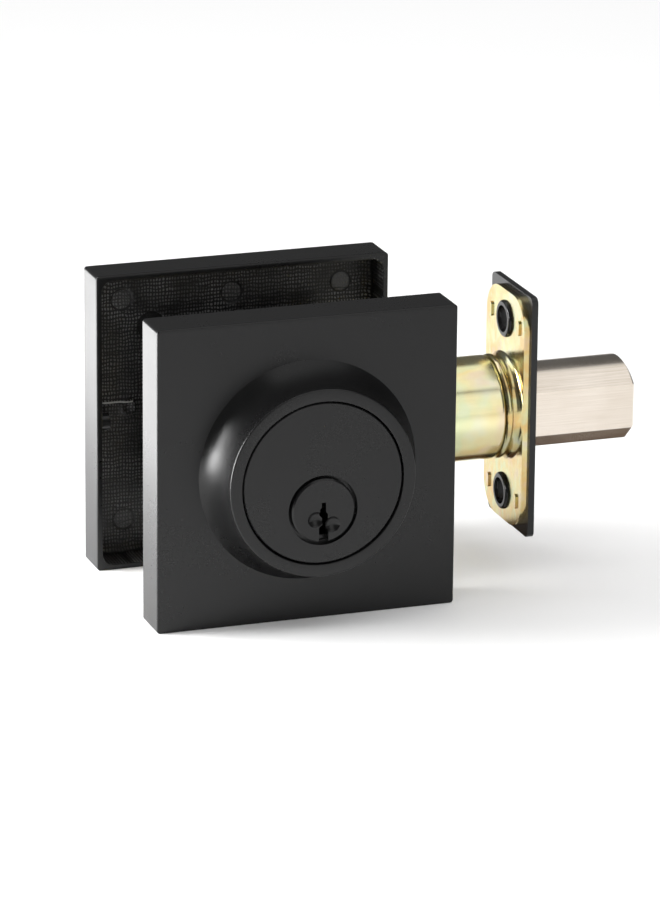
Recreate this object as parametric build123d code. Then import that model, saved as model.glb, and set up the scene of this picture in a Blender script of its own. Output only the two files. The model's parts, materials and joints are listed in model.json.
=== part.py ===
"""Tubular deadbolt for a 35 mm door: keyed outside, thumbturn inside, bolt thrown 25.4 mm.

Frame: the origin is where the bolt's axis meets the centreline of the cross bore, at half the
door's thickness. +X runs along the bolt to the door's edge, +Y from outside to inside, +Z up.
"""
from build123d import *
from math import atan, cos, radians, sin, sqrt
import os

# Door and trim, in mm
DOOR = 35.0
BACKSET = 60.3
ROSE = 70.0
ROSE_Z = -1.5
OUT_DEPTH = 10.5
IN_DEPTH = 10.0
WALL = 1.3
ROSE_EDGE = 0.4

# Keyed cylinder
COLLAR_H = 10.7
COLLAR_BASE_R = 25.4
COLLAR_TOP_R = 21.6
FACE_R = 18.5
FACE_GAP = 0.3
FLANGE_R = 24.0
PIVOT_Z = ROSE_Z - 6.2
PLUG_R = 6.35
PLUG_HEAD_R = 7.35
PLUG_GROOVE_R = 8.05
PLUG_GROOVE_DEPTH = 1.6
PLUG_PROUD = 0.5
RUN_FIT = 0.05
PINS = 5
PIN_PITCH = 3.97
PIN_R = 1.45
CHAMBER_R = 1.5
KEY_PIN_LENGTHS = (4.2, 5.0, 3.8, 5.4, 4.6)
DRIVER_LENGTH = 4.4
CHAMBER_TOP = 11.0
CAP_PIN_X = 5.35
POST_SPACING = 38.0
POST_R = 4.0
POST_END = -7.0
CAP_R = 7.2
STEM_R = 4.5
DRIVE_WIDTH = 1.8
LOST_MOTION = 35.0
DISHES = ((-1.9, -1.9), (2.0, -3.3))
DISH_R = 2.3
DISH_DEPTH = 0.9

# Inside cover's casting, places measured from the rose's centre
EJECTOR_MARKS = ((-26.4, 26.6), (0, 26.2), (26.4, 26.6), (-26.0, -26.0), (26.0, -26.0))
EJECTOR_R = 2.45
EJECTOR_DEPTH = 0.2
POCKET = (-19.3, 19.9)
POCKET_R = 3.3
POCKET_DEPTH = 0.7
BOSS = (-25.0, 1.0)
BOSS_R = 1.8
BOSS_H = 1.1
RIB_END = -17.0
RIB_Z = (-0.6, 2.5)
RIB_H = 0.7
SET_SCREW_R = 2.0
SET_SCREW_IN = 2.5

# Latch
THROW = 25.4
TUBE_R = 12.0
TUBE_WALL = 0.8
TUBE_X0 = 16.0
TUBE_X1 = 53.6
PLATE_T = 1.5
FACEPLATE = (25.4, 57.15)
BACKING = (24.0, 54.8)
BACKING_CORNER = 7.5
SCREW_SPACING = 41.3
BOLT_HALF_W = 9.7
BOLT_LENGTH = 41.0
BOLT_REACH = BACKSET + THROW
CRANK_SWING = 90.0
CRANK_R = THROW / 2 / sin(radians(CRANK_SWING / 2))
CRANK_PIN_R = 1.75
YOKE_SLACK = 0.6
BLADE = (4.6, 1.5)
SIDE_PLATE = (4.2, 5.2)
TAIL_PLATE = (2.1, 3.8)
TAIL_Z = (-3.3, 3.2)
CHASSIS_X = (-19.0, 16.0)
CHASSIS_Z = 11.3
RIVET_X = (-15.0, 9.0)
RIVET_Z = -8.0
RIVET_R = 1.5
RIVET_HEAD_R = 2.3
HUB_R = 4.1
HUB_PIVOT_R = 2.9
DETENT_X = (-12.7, -4.4)
DETENT_Z = -9.0
RIM_R = 4.3
RIM_ROUND = 0.6
SCREW_HOLE_R = 3.1
SINK_DEPTH = 1.1

# Inside
SPINDLE_R = 4.5
PADDLE_HALF = 20.0
PADDLE_REACH = 17.0
PADDLE_HALF_T = 2.6
THUMB_DISC_R = 9.0
BUSH_R = 6.0
GROOVE_R = 3.7
MOUNT_PLATE = 47.0
MOUNT_PLATE_T = 1.5
BOLT_M5_R = 2.45
BOLT_HEAD_R = 4.6
BOLT_HEAD_H = 2.8
THREAD_R = 2.5

# Worked out from the above
OUT_FACE = -DOOR / 2
IN_FACE = DOOR / 2
ROSE_FRONT = OUT_FACE - OUT_DEPTH
COLLAR_FRONT = ROSE_FRONT - COLLAR_H
COVER_FLOOR = IN_FACE + IN_DEPTH - WALL
COVER_BACK = IN_FACE + IN_DEPTH
FLANGE_Y = (ROSE_FRONT + WALL, ROSE_FRONT + WALL + 4.0)
HOUSING_END = -15.5
PLUG_FRONT = COLLAR_FRONT + 0.2 - PLUG_PROUD
SHEAR_Z = PIVOT_Z + PLUG_R
FIRST_PIN_Y = COLLAR_FRONT + 4.2
POST_Z = (ROSE_Z - POST_SPACING / 2, ROSE_Z + POST_SPACING / 2)
TUBE_IN_R = TUBE_R - TUBE_WALL
PLATE_BACK = BACKSET - 2 * PLATE_T
CRANK_X = THROW / 2
CRANK_Z = PIVOT_Z + sqrt(CRANK_R**2 - CRANK_X**2)
BOLT_TOP = 9.3
BOLT_SHOULDER = 5.2
BOLT_FLOOR = -8.8
BOLT_CHAMFER_IN = 4.1
PIN_BORE = (BOLT_REACH - 35.5, BOLT_REACH - 5.5)
SHANK_END = -20.0


def block(x, y, z):
    """Box from (low, high) pairs."""
    centre = Pos((x[0] + x[1]) / 2, (y[0] + y[1]) / 2, (z[0] + z[1]) / 2)
    return centre * Box(x[1] - x[0], y[1] - y[0], z[1] - z[0])


def rod_x(radius, x, y=0.0, z=0.0):
    return Pos((x[0] + x[1]) / 2, y, z) * Rot(0, 90, 0) * Cylinder(radius, x[1] - x[0])


def rod_y(radius, y, x=0.0, z=0.0):
    return Pos(x, (y[0] + y[1]) / 2, z) * Rot(90, 0, 0) * Cylinder(radius, y[1] - y[0])


def rod_z(radius, z, x=0.0, y=0.0):
    return Pos(x, y, (z[0] + z[1]) / 2) * Cylinder(radius, z[1] - z[0])


def slab_y(face, y):
    """A face drawn in X and Z, given its thickness along Y."""
    return extrude(Plane.XZ.offset(-y[0]) * face, y[1] - y[0], dir=(0, 1, 0))


def slab_x(face, x):
    """A face drawn in Y and Z, given its thickness along X."""
    return extrude(Plane.YZ.offset(x[0]) * face, x[1] - x[0], dir=(1, 0, 0))


def turned_y(face, z):
    """A face drawn as radius and Y, turned about the axis at height z."""
    return revolve(Plane.XY.offset(z) * face, Axis((0, 0, z), (0, 1, 0)), 360)


def edges_at_y(solid, y):
    return [e for e in solid.edges() if abs(e.center().Y - y) < 1e-3]


def square_shell(front, rim, wall, corner, floor_round):
    """A square pan: its closed face at front, open at rim, standing on the rose's centre."""
    low, high = min(front, rim), max(front, rim)
    out = Pos(0, ROSE_Z) * RectangleRounded(ROSE, ROSE, 2 * ROSE_EDGE)
    pan = slab_y(out, (low, high))
    pan = fillet(edges_at_y(pan, front), ROSE_EDGE)
    inner = front + wall if front < rim else front - wall
    hollow_face = Pos(0, ROSE_Z) * RectangleRounded(ROSE - 2 * wall, ROSE - 2 * wall, corner)
    hollow = slab_y(hollow_face, (min(inner, rim), max(inner, rim)))
    hollow = fillet(edges_at_y(hollow, inner), floor_round)
    return pan - hollow


def exterior_rose():
    top = COLLAR_FRONT + ROSE_EDGE
    rise = ROSE_FRONT - top
    run = COLLAR_BASE_R - COLLAR_TOP_R
    cove = (run**2 + rise**2) / (2 * run)
    half = atan(run / rise)
    mid_r = COLLAR_TOP_R + cove * (1 - cos(half))
    mid_y = top + cove * sin(half)
    bore = FACE_R + FACE_GAP
    base_y = FLANGE_Y[0]
    side = ThreePointArc((COLLAR_TOP_R, top), (mid_r, mid_y), (COLLAR_BASE_R, ROSE_FRONT))
    outline = side + Polyline(
        (COLLAR_BASE_R, ROSE_FRONT),
        (COLLAR_BASE_R, base_y),
        (bore, base_y),
        (bore, COLLAR_FRONT + ROSE_EDGE / 2),
        (bore + ROSE_EDGE / 2, COLLAR_FRONT),
        (COLLAR_TOP_R - ROSE_EDGE, COLLAR_FRONT),
        (COLLAR_TOP_R, top),
    )
    collar = turned_y(make_face(outline), ROSE_Z)
    pan = square_shell(ROSE_FRONT, OUT_FACE, WALL, 2.6, 1.0)
    pan -= rod_y(COLLAR_BASE_R - 2, (ROSE_FRONT - 1, FLANGE_Y[0] + 0.5), 0, ROSE_Z)
    return pan + collar


def cylinder_housing():
    face_y = COLLAR_FRONT + 0.2
    body = rod_y(FACE_R, (face_y, FLANGE_Y[0]), 0, ROSE_Z)
    body = chamfer(edges_at_y(body, face_y), 0.25)
    body += rod_y(FLANGE_R, FLANGE_Y, 0, ROSE_Z)
    barrel = rod_y(PLUG_R + 3.0, (FLANGE_Y[1], HOUSING_END), 0, PIVOT_Z)
    bible = block((-5, 5), (FLANGE_Y[1], HOUSING_END), (PIVOT_Z, CHAMBER_TOP + 2))
    body += barrel + bible
    for z in POST_Z:
        body += rod_y(POST_R, (FLANGE_Y[1], POST_END), 0, z)
        body -= rod_y(THREAD_R, (FLANGE_Y[0] + 2.0, POST_END + 1), 0, z)
    body -= rod_y(PLUG_R + RUN_FIT, (face_y - 1, HOUSING_END + 1), 0, PIVOT_Z)
    body -= rod_y(PLUG_HEAD_R + RUN_FIT, (face_y - 1, face_y + 2.2), 0, PIVOT_Z)
    body -= rod_y(PLUG_GROOVE_R, (face_y - 1, face_y + PLUG_GROOVE_DEPTH), 0, PIVOT_Z)
    for i in range(PINS):
        body -= rod_z(CHAMBER_R, (SHEAR_Z - 1, CHAMBER_TOP + 1), 0, FIRST_PIN_Y + i * PIN_PITCH)
    body -= block((-2.2, 2.2), (face_y + 1.6, HOUSING_END - 1), (CHAMBER_TOP, 2 * FACE_R))
    return body


def keyway_face():
    """Warded slot, drawn about the plug's centre, open at the bottom."""
    outline = [
        (-0.5, 1.9), (0.5, 1.9), (0.5, -0.2), (0.95, -0.8), (0.95, -2.2), (0.45, -2.7),
        (0.45, -4.0), (1.1, -4.6), (1.1, -9.0), (-1.1, -9.0), (-1.1, -3.8), (-0.35, -3.2),
        (-0.35, -1.7), (-0.9, -1.1), (-0.9, 0.3), (-0.5, 0.8),
    ]
    return Polygon(*outline, align=None)


def plug():
    face_y = COLLAR_FRONT + 0.2
    stem_end = HOUSING_END + 1.6
    body = rod_y(PLUG_HEAD_R, (PLUG_FRONT, face_y + 2.1), 0, PIVOT_Z)
    body = chamfer(edges_at_y(body, PLUG_FRONT), 0.35)
    body += rod_y(PLUG_R, (face_y + 2.1, HOUSING_END), 0, PIVOT_Z)
    body += rod_y(STEM_R, (HOUSING_END, stem_end), 0, PIVOT_Z)
    slot = Pos(0, PIVOT_Z) * keyway_face()
    body -= slab_y(slot, (PLUG_FRONT - 1, stem_end + 1))
    for x, z in DISHES:
        body -= Pos(x, PLUG_FRONT + DISH_DEPTH - DISH_R, PIVOT_Z + z) * Sphere(DISH_R)
    for i in range(PINS):
        floor = SHEAR_Z - KEY_PIN_LENGTHS[i] - 2.2
        body -= rod_z(CHAMBER_R, (floor, SHEAR_Z + 1), 0, FIRST_PIN_Y + i * PIN_PITCH)
    body -= rod_y(0.7, (HOUSING_END - 5.0, HOUSING_END + 0.1), CAP_PIN_X, PIVOT_Z)
    return body


def key_pin(i):
    low = SHEAR_Z - KEY_PIN_LENGTHS[i]
    y = FIRST_PIN_Y + i * PIN_PITCH
    pin = rod_z(PIN_R, (low, SHEAR_Z), 0, y)
    tip = [e for e in pin.edges() if abs(e.center().Z - low) < 1e-3]
    pin = chamfer(tip, 0.7)
    crown = Pos(0, 0, PIVOT_Z) * Rot(90, 0, 0) * Cylinder(PLUG_R, 4 * PLUG_R * PINS)
    return pin & crown


def driver_pin(i):
    y = FIRST_PIN_Y + i * PIN_PITCH
    low = SHEAR_Z + RUN_FIT
    pin = rod_z(PIN_R, (low, low + DRIVER_LENGTH), 0, y)
    return chamfer(pin.edges().filter_by(GeomType.CIRCLE), 0.3)


def coil(radius, wire, height, turns):
    """Round-wire compression spring standing on its lowest turn's centre, along +Z."""
    path = Helix(height / turns, height, radius)
    start = path @ 0
    section = Plane(origin=start, z_dir=path % 0) * Circle(wire)
    return sweep(section, path, is_frenet=True)


def pin_spring(i, shape):
    y = FIRST_PIN_Y + i * PIN_PITCH
    return Pos(0, y, SHEAR_Z + RUN_FIT + DRIVER_LENGTH + 0.25) * shape


def chamber_cover():
    length = (COLLAR_FRONT + 1.9, HOUSING_END - 1.1)
    return block((-2.15, 2.15), length, (CHAMBER_TOP, CHAMBER_TOP + 1))


def plug_cap():
    """Cup pressed on the plug's stem: its stub drives the tailpiece after free travel."""
    start = HOUSING_END + 0.1
    cap = rod_y(CAP_R, (start, start + 5.4), 0, PIVOT_Z)
    cap -= rod_y(STEM_R, (start - 1, start + 1.5), 0, PIVOT_Z)
    cap -= rod_y(5.0, (start + 1.5, start + 4.2), 0, PIVOT_Z)
    cap -= rod_y(3.3, (start + 4.0, start + 6.0), 0, PIVOT_Z)
    cap -= rod_y(0.7, (start - 1, start + 1.5), CAP_PIN_X, PIVOT_Z)
    stub = block((-DRIVE_WIDTH / 2, DRIVE_WIDTH / 2), (start + 1.5, start + 4.2), (3.6, 5.4))
    return cap + Pos(0, 0, PIVOT_Z) * Rot(0, -LOST_MOTION, 0) * stub


def cap_pin():
    return rod_y(0.65, (HOUSING_END - 2.2, HOUSING_END + 1.5), CAP_PIN_X, PIVOT_Z)


def cap_spring():
    shape = coil(0.5, 0.12, 2.3, 5)
    return Pos(CAP_PIN_X, HOUSING_END - 2.35, PIVOT_Z) * Rot(90, 0, 0) * shape


def tailpiece():
    start = HOUSING_END + 1.9
    blade_end = COVER_FLOOR - 3.0
    bar = block((-BLADE[0] / 2, BLADE[0] / 2), (start, blade_end), (-BLADE[1] / 2, BLADE[1] / 2))
    ear = block((-DRIVE_WIDTH / 2, DRIVE_WIDTH / 2), (start, start + 2.0), (-4.7, 0))
    head = rod_y(2.9, (start, start + 2.0))
    return Pos(0, 0, PIVOT_Z) * (bar + ear + head)


def interior_rose():
    pan = square_shell(COVER_BACK, IN_FACE, WALL, 2.6, 2.4)
    pan -= rod_y(BUSH_R, (COVER_FLOOR - 1, COVER_BACK + 1), 0, PIVOT_Z)
    half = ROSE / 2 - WALL
    rooted = COVER_FLOOR + 0.2
    rib_z = (ROSE_Z + RIB_Z[0], ROSE_Z + RIB_Z[1])
    pan += block((-half - 0.2, RIB_END), (COVER_FLOOR - RIB_H, rooted), rib_z)
    pan += rod_y(BOSS_R, (COVER_FLOOR - BOSS_H, rooted), BOSS[0], ROSE_Z + BOSS[1])
    for x, z in EJECTOR_MARKS:
        pan -= rod_y(EJECTOR_R, (COVER_FLOOR - 1, COVER_FLOOR + EJECTOR_DEPTH), x, ROSE_Z + z)
    pocket_y = (COVER_FLOOR - 1, COVER_FLOOR + POCKET_DEPTH)
    pan -= rod_y(POCKET_R, pocket_y, POCKET[0], ROSE_Z + POCKET[1])
    pan -= rod_x(SET_SCREW_R, (-ROSE / 2 - 1, -half + 1), IN_FACE + SET_SCREW_IN, ROSE_Z)
    return pan


def mounting_plate():
    face = Pos(0, ROSE_Z) * RectangleRounded(MOUNT_PLATE, MOUNT_PLATE, 3.0)
    plate = slab_y(face, (IN_FACE, IN_FACE + MOUNT_PLATE_T))
    plate -= rod_y(SPINDLE_R + 1.5, (IN_FACE - 1, IN_FACE + 3), 0, PIVOT_Z)
    for z in POST_Z:
        plate -= rod_y(BOLT_M5_R + 0.25, (IN_FACE - 1, IN_FACE + 3), 0, z)
    return plate


def mounting_bolts():
    """Two machine screws that draw the outside cylinder and the plate together."""
    head_y = IN_FACE + MOUNT_PLATE_T
    bolts = []
    for z in POST_Z:
        bolt = rod_y(BOLT_M5_R, (SHANK_END, head_y + 1), 0, z)
        head = rod_y(BOLT_HEAD_R, (head_y, head_y + BOLT_HEAD_H), 0, z)
        head = fillet(edges_at_y(head, head_y + BOLT_HEAD_H), BOLT_HEAD_H / 2)
        bolt += head
        for size in ((3.6, 1.0), (1.0, 3.6)):
            bolt -= Pos(0, head_y + 2.4, z) * Box(size[0], 2.0, size[1])
        bolts.append(bolt)
    return Compound(children=bolts)


def cover_set_screw():
    y = IN_FACE + SET_SCREW_IN
    screw = rod_x(SET_SCREW_R - 0.02, (-ROSE / 2 + 0.05, -ROSE / 2 + 3.4), y, ROSE_Z)
    socket = extrude(RegularPolygon(1.1, 6), 1.6)
    return screw - Pos(-ROSE / 2, y, ROSE_Z) * Rot(0, 90, 0) * socket


def thumbturn():
    base_y = (COVER_BACK + 0.3, COVER_BACK + 3.3)
    reach = base_y[1] + PADDLE_REACH
    disc = rod_y(THUMB_DISC_R, base_y)
    disc = fillet(edges_at_y(disc, base_y[1]), 0.8)
    spindle = rod_y(SPINDLE_R, (IN_FACE + 0.4, base_y[0]))
    neck = rod_y(5.0, (base_y[1] - 1, base_y[1] + 4))
    outline = Pos(0, base_y[1] + 2 + PADDLE_REACH / 2 - 1) * RectangleRounded(
        2 * PADDLE_HALF, reach - base_y[1] - 2, 6.0
    )
    paddle = extrude(outline, PADDLE_HALF_T, both=True)
    paddle = fillet(paddle.faces().sort_by(Axis.Z)[-1].edges(), 1.2)
    paddle = fillet(paddle.faces().sort_by(Axis.Z)[0].edges(), 1.2)
    knob = disc + neck + paddle + spindle
    slot = (BLADE[0] + 0.4, BLADE[1] + 0.4)
    knob -= Pos(0, COVER_FLOOR - 6, 0) * Box(slot[0], 12.0, slot[1])
    groove_y = (COVER_FLOOR - 3.4, COVER_FLOOR - 2.6)
    knob -= rod_y(SPINDLE_R + 1, groove_y) - rod_y(GROOVE_R, groove_y)
    return Pos(0, 0, PIVOT_Z) * knob


def thumbturn_bushing():
    sleeve = rod_y(BUSH_R, (COVER_FLOOR, COVER_BACK), 0, PIVOT_Z)
    flange = rod_y(BUSH_R + 2.0, (COVER_FLOOR - 1.0, COVER_FLOOR), 0, PIVOT_Z)
    bore = rod_y(SPINDLE_R + RUN_FIT, (COVER_FLOOR - 2, COVER_BACK + 1), 0, PIVOT_Z)
    return sleeve + flange - bore


def ring_y(inner, outer, y):
    return rod_y(outer, y, 0, PIVOT_Z) - rod_y(inner, y, 0, PIVOT_Z)


def wave_washer():
    return ring_y(SPINDLE_R + 0.2, 7.6, (COVER_FLOOR - 2.2, COVER_FLOOR - 1.0))


def circlip():
    ring = ring_y(GROOVE_R, 6.2, (COVER_FLOOR - 3.35, COVER_FLOOR - 2.65))
    return ring - Pos(0, COVER_FLOOR - 3, PIVOT_Z - 5) * Box(3.4, 2, 6)


def bolt_face(grow=0.0):
    """The bolt's section: flat sides, an arched top and a chamfered underside."""
    w = BOLT_HALF_W + grow
    foot = BOLT_HALF_W - BOLT_CHAMFER_IN + grow / 2
    low = BOLT_FLOOR - grow
    arch = ThreePointArc((-w, BOLT_SHOULDER), (0, BOLT_TOP + grow), (w, BOLT_SHOULDER))
    rest = Polyline(
        (w, BOLT_SHOULDER),
        (w, -BOLT_SHOULDER),
        (foot, low),
        (-foot, low),
        (-w, -BOLT_SHOULDER),
        (-w, BOLT_SHOULDER),
    )
    return make_face(arch + rest)


def bolt():
    body = slab_x(bolt_face(), (BOLT_REACH - BOLT_LENGTH, BOLT_REACH))
    body = chamfer([e for e in body.edges() if abs(e.center().X - BOLT_REACH) < 1e-3], 0.5)
    pocket_x = (BOLT_REACH - BOLT_LENGTH - 1, PIN_BORE[0])
    body -= block(pocket_x, (-TAIL_PLATE[1], TAIL_PLATE[1]), TAIL_Z)
    body -= rod_x(3.28, (PIN_BORE[0] - 0.5, PIN_BORE[1]))
    return body


def hardened_pin():
    pin = rod_x(3.2, (PIN_BORE[0] + 0.3, PIN_BORE[1] - 0.3))
    return chamfer(pin.edges().filter_by(GeomType.CIRCLE), 0.5)


def bolt_tail():
    """Two thin rails joined at the bolt, each ending in a fork round the crank's pin."""
    reach = CRANK_PIN_R + YOKE_SLACK
    fork_x = (CRANK_X - reach - 2.2, CRANK_X + reach + 2.2)
    front = PIN_BORE[0]
    tail = block((front - 4.2, front), (-TAIL_PLATE[1], TAIL_PLATE[1]), TAIL_Z)
    for side in (-1, 1):
        y = sorted((side * TAIL_PLATE[0], side * TAIL_PLATE[1]))
        tail += block((fork_x[0], front), y, TAIL_Z)
        tail += block(fork_x, y, (TAIL_Z[0], 10.2))
    slot_floor = CRANK_Z - CRANK_PIN_R - 0.5
    slot_y = (-TAIL_PLATE[1] - 1, TAIL_PLATE[1] + 1)
    tail -= block((CRANK_X - reach, CRANK_X + reach), slot_y, (slot_floor, 12))
    return tail


def crank():
    """Hub with the tailpiece's slot, and the arm that carries the bolt."""
    hub = rod_y(HUB_R, (-4.1, 4.1)) + rod_y(HUB_PIVOT_R, (-SIDE_PLATE[1], SIDE_PLATE[1]))
    arm = block((-3.0, 3.0), (-1.6, 1.6), (0, CRANK_R)) + rod_y(3.0, (-1.6, 1.6), 0, CRANK_R)
    arm -= rod_y(CRANK_PIN_R, (-3, 3), 0, CRANK_R)
    lever = hub + Rot(0, CRANK_SWING / 2, 0) * arm
    lever -= Box(BLADE[0] + 0.3, 20, BLADE[1] + 0.3)
    return Pos(0, 0, PIVOT_Z) * lever


def crank_pin():
    return rod_y(CRANK_PIN_R, (-TAIL_PLATE[1] - 0.1, TAIL_PLATE[1] + 0.1), CRANK_X, CRANK_Z)


def chassis_plate(side):
    y = sorted((side * SIDE_PLATE[0], side * SIDE_PLATE[1]))
    length = CHASSIS_X[1] - CHASSIS_X[0]
    outline = RectangleRounded(length, 2 * CHASSIS_Z, 3.0)
    plate = slab_y(Pos(CHASSIS_X[0] + length / 2, 0) * outline, y)
    through = (y[0] - 1, y[1] + 1)
    plate -= rod_y(HUB_PIVOT_R + RUN_FIT, through, 0, PIVOT_Z)
    for x in RIVET_X:
        plate -= rod_y(RIVET_R, through, x, RIVET_Z)
    plate -= block((CHASSIS_X[0] - 1, -2.0), through, (3.5, 7.0))
    return plate


def chassis_rivets():
    rivets = []
    for x in RIVET_X:
        rivet = rod_y(RIVET_R, (-SIDE_PLATE[1], SIDE_PLATE[1]), x, RIVET_Z)
        rivet += rod_y(RIVET_HEAD_R, (-SIDE_PLATE[0], SIDE_PLATE[0]), x, RIVET_Z)
        for y in ((-6.0, -SIDE_PLATE[1]), (SIDE_PLATE[1], 6.0)):
            rivet += rod_y(RIVET_HEAD_R, y, x, RIVET_Z)
        rivets.append(rivet)
    return Compound(children=rivets)


def detent_spring():
    """Leaf that bears on the crank's hub and holds it at each end of its swing."""
    width = (-1.5, 1.5)
    leaf = block(DETENT_X, width, (DETENT_Z, DETENT_Z + 0.4))
    heel = block((DETENT_X[0], DETENT_X[0] + 0.4), width, (DETENT_Z, DETENT_Z + 3.0))
    nose = rod_y(0.5, width, DETENT_X[1] - 0.3, DETENT_Z + 0.5)
    return leaf + heel + nose


def latch_tube():
    outer = rod_x(TUBE_R, (TUBE_X0, TUBE_X1))
    outer = fillet([e for e in outer.edges() if abs(e.center().X - TUBE_X1) < 1e-3], 1.2)
    tube = outer - rod_x(TUBE_IN_R, (TUBE_X0 - 1, TUBE_X1 - TUBE_WALL))
    return tube - slab_x(bolt_face(0.3), (TUBE_X1 - 2, TUBE_X1 + 1))


def tube_end_disc():
    disc = rod_x(TUBE_IN_R, (TUBE_X0, TUBE_X0 + 1.5))
    return disc - block((TUBE_X0 - 1, TUBE_X0 + 3), (-4.15, 4.15), (-3.7, 13))


def backing_plate():
    """Plated plate with a drawn collar that is swaged to the tube."""
    face = RectangleRounded(BACKING[0], BACKING[1], BACKING_CORNER)
    plate = slab_x(face, (PLATE_BACK, PLATE_BACK + PLATE_T))
    flare = ThreePointArc((TUBE_X1 + 1.6, 11.7), (PLATE_BACK - 0.55, 12.0), (PLATE_BACK, 12.6))
    bead = ThreePointArc((TUBE_X1, 11.7), (TUBE_X1 + 0.8, 12.1), (TUBE_X1 + 1.6, 11.7))
    rest = Polyline(
        (PLATE_BACK, 12.6), (PLATE_BACK + 0.5, 12.6), (PLATE_BACK + 0.5, 5), (TUBE_X1, 5), (TUBE_X1, 11.7)
    )
    collar = revolve(make_face(bead + flare + rest), Axis.X, 360)
    plate += collar & block((TUBE_X1 - 1, BACKSET), (-11.99, 11.99), (-20, 20))
    plate -= slab_x(bolt_face(0.3), (TUBE_X1 - 1, BACKSET))
    plate -= rod_x(8.0, (TUBE_X1 - 1, PLATE_BACK - 1))
    for side in (-1, 1):
        z = side * SCREW_SPACING / 2
        plate -= rod_x(RIM_R + RUN_FIT, (PLATE_BACK - 1, BACKSET), 0, z)
        for y in (-8.7, 8.7):
            nub = Pos(PLATE_BACK, y, z) * Rot(0, 90, 0) * SlotOverall(3.5, 1.3)
            plate += extrude(nub, 0.4, dir=(-1, 0, 0))
    return plate


def faceplate():
    face = RectangleRounded(FACEPLATE[0], FACEPLATE[1], 1.5)
    plate = slab_x(face, (BACKSET - PLATE_T, BACKSET))
    plate -= slab_x(bolt_face(0.25), (BACKSET - 3, BACKSET + 1))
    rim_x = PLATE_BACK - 0.8
    for side in (-1, 1):
        z = side * SCREW_SPACING / 2
        rim = rod_x(RIM_R, (rim_x, BACKSET - PLATE_T), 0, z)
        rim = fillet([e for e in rim.edges() if abs(e.center().X - rim_x) < 1e-3], RIM_ROUND)
        plate += rim
        plate -= rod_x(SCREW_HOLE_R, (rim_x - 1, BACKSET + 1), 0, z)
        sink = Pos(BACKSET - SINK_DEPTH / 2, 0, z) * Rot(0, 90, 0) * Cone(SCREW_HOLE_R, RIM_R, SINK_DEPTH)
        plate -= sink
    return plate


def make_parts():
    spring_room = CHAMBER_TOP - SHEAR_Z - RUN_FIT - DRIVER_LENGTH
    spring = coil(1.05, 0.2, spring_room - 0.45, 7)
    parts = {
        "exterior_rose": exterior_rose(),
        "cylinder_housing": cylinder_housing(),
        "plug": plug(),
        "chamber_cover": chamber_cover(),
        "plug_cap": plug_cap(),
        "cap_pin": cap_pin(),
        "cap_spring": cap_spring(),
        "tailpiece": tailpiece(),
        "interior_rose": interior_rose(),
        "mounting_plate": mounting_plate(),
        "mounting_bolts": mounting_bolts(),
        "cover_set_screw": cover_set_screw(),
        "thumbturn": thumbturn(),
        "thumbturn_bushing": thumbturn_bushing(),
        "wave_washer": wave_washer(),
        "circlip": circlip(),
        "bolt": bolt(),
        "bolt_tail": bolt_tail(),
        "hardened_pin": hardened_pin(),
        "crank": crank(),
        "crank_pin": crank_pin(),
        "chassis_plate_out": chassis_plate(-1),
        "chassis_plate_in": chassis_plate(1),
        "chassis_rivets": chassis_rivets(),
        "detent_spring": detent_spring(),
        "latch_tube": latch_tube(),
        "tube_end_disc": tube_end_disc(),
        "backing_plate": backing_plate(),
        "faceplate": faceplate(),
    }
    for i in range(PINS):
        parts[f"key_pin_{i + 1}"] = key_pin(i)
        parts[f"driver_pin_{i + 1}"] = driver_pin(i)
        parts[f"pin_spring_{i + 1}"] = pin_spring(i, spring)
    return parts


os.makedirs("parts", exist_ok=True)
for name, shape in make_parts().items():
    export_step(shape, f"parts/{name}.step")
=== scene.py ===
# %% [markdown]
# # A square deadbolt, piece by piece
# A tubular deadbolt has three looks that differ as much as three materials can: satin black castings,
# a latch in yellow zinc plate, and a bolt in satin nickel. The design model already says where every
# piece is, so this lesson loads it as a fixed frame, remakes the pieces whose surface needs more than
# the design model holds, and gives every other piece a finish of its own.

# %% Load the frame
import bmesh
import bpy
import json
from math import acos, cos, hypot, pi, radians, sin, tan
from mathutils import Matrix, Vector, noise


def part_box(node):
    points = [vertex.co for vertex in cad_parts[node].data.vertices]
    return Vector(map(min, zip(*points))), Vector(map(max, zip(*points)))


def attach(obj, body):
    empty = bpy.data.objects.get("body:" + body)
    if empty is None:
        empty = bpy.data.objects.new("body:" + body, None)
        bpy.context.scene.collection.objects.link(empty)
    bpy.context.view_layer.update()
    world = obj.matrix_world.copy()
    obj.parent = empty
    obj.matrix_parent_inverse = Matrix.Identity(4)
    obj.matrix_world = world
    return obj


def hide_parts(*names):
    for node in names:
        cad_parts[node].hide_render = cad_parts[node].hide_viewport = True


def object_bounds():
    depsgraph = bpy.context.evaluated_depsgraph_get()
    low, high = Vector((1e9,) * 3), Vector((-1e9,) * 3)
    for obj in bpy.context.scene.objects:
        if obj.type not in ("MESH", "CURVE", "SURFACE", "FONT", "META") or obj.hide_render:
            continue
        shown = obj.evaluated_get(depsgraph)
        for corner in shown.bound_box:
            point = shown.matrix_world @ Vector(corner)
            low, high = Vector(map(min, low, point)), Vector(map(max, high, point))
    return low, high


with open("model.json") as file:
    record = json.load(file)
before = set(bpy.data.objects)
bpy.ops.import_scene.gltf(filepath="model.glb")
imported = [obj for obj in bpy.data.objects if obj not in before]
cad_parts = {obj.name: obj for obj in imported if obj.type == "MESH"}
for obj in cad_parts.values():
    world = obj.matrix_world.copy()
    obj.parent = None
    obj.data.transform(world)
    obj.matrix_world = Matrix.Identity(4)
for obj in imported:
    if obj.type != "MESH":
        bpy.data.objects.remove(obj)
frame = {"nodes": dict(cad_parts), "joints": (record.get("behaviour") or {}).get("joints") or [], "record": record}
cad_low, cad_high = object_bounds()
MM = 0.001
print("CAD box, mm:", [round(v / MM, 1) for v in (*cad_low, *cad_high)])

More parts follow.
